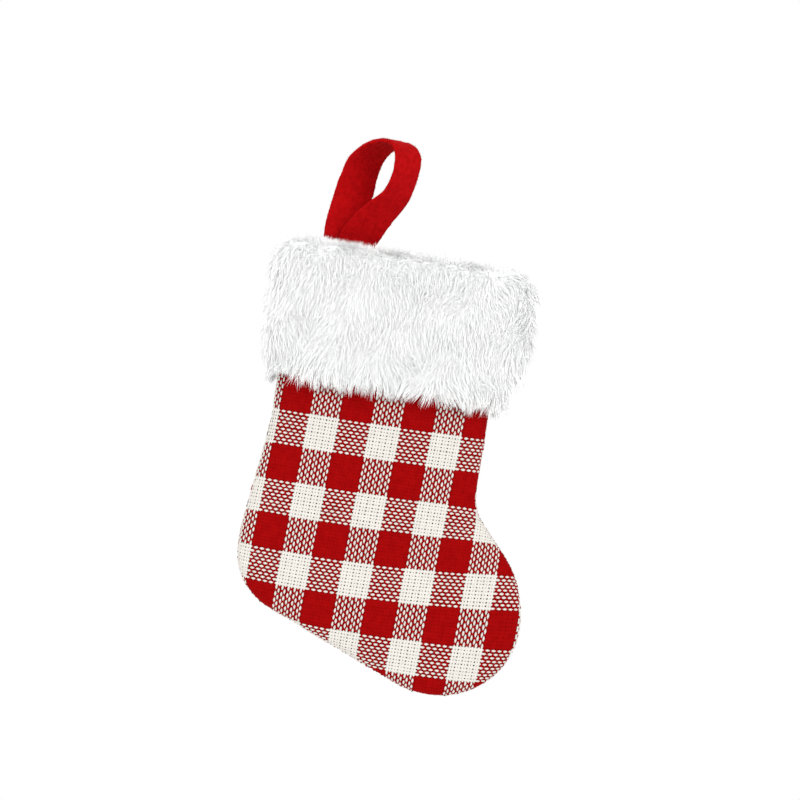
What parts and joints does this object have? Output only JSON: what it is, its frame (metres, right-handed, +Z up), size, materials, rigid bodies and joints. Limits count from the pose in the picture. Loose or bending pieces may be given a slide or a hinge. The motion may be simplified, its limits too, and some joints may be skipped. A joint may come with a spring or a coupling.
{
  "type": "hanging stocking",
  "caption": "Small hanging stocking of woven check cloth with a plush cuff folded over the mouth and a felt hanging loop.",
  "frame": {"origin": "inside the top of the felt loop, where a nail or hook bears", "axes": "+Z up, +X towards the toe side, +Y towards the back; the stocking hangs with its natural lean of 9 degrees"},
  "size_m": [0.0984, 0.031, 0.1829],
  "materials": {
    "check_cloth": "plain-woven check, red and ivory yarns",
    "plush": "long white pile",
    "felt": "pressed felt",
    "thread": "spun sewing thread"
  },
  "bodies": {
    "loop": {"hanging_loop": "felt"},
    "stocking": {"front_panel": "check_cloth", "back_panel": "check_cloth", "side_seam_thread": "thread", "cuff_front": "plush", "cuff_back": "plush", "cuff_heel_seam_thread": "thread", "cuff_toe_seam_thread": "thread", "mouth_seam_thread_front": "thread", "mouth_seam_thread_back": "thread", "loop_ends": "felt", "loop_bar_tack": "thread"}
  },
  "joints": [
    {"name": "stocking_swing", "type": "hinge", "parent": "loop", "child": "stocking", "pos_m": [-0.01386, 0, -0.03066], "axis": [0.9877, 0, -0.1564], "range_deg": [-60, 60]}
  ]
}
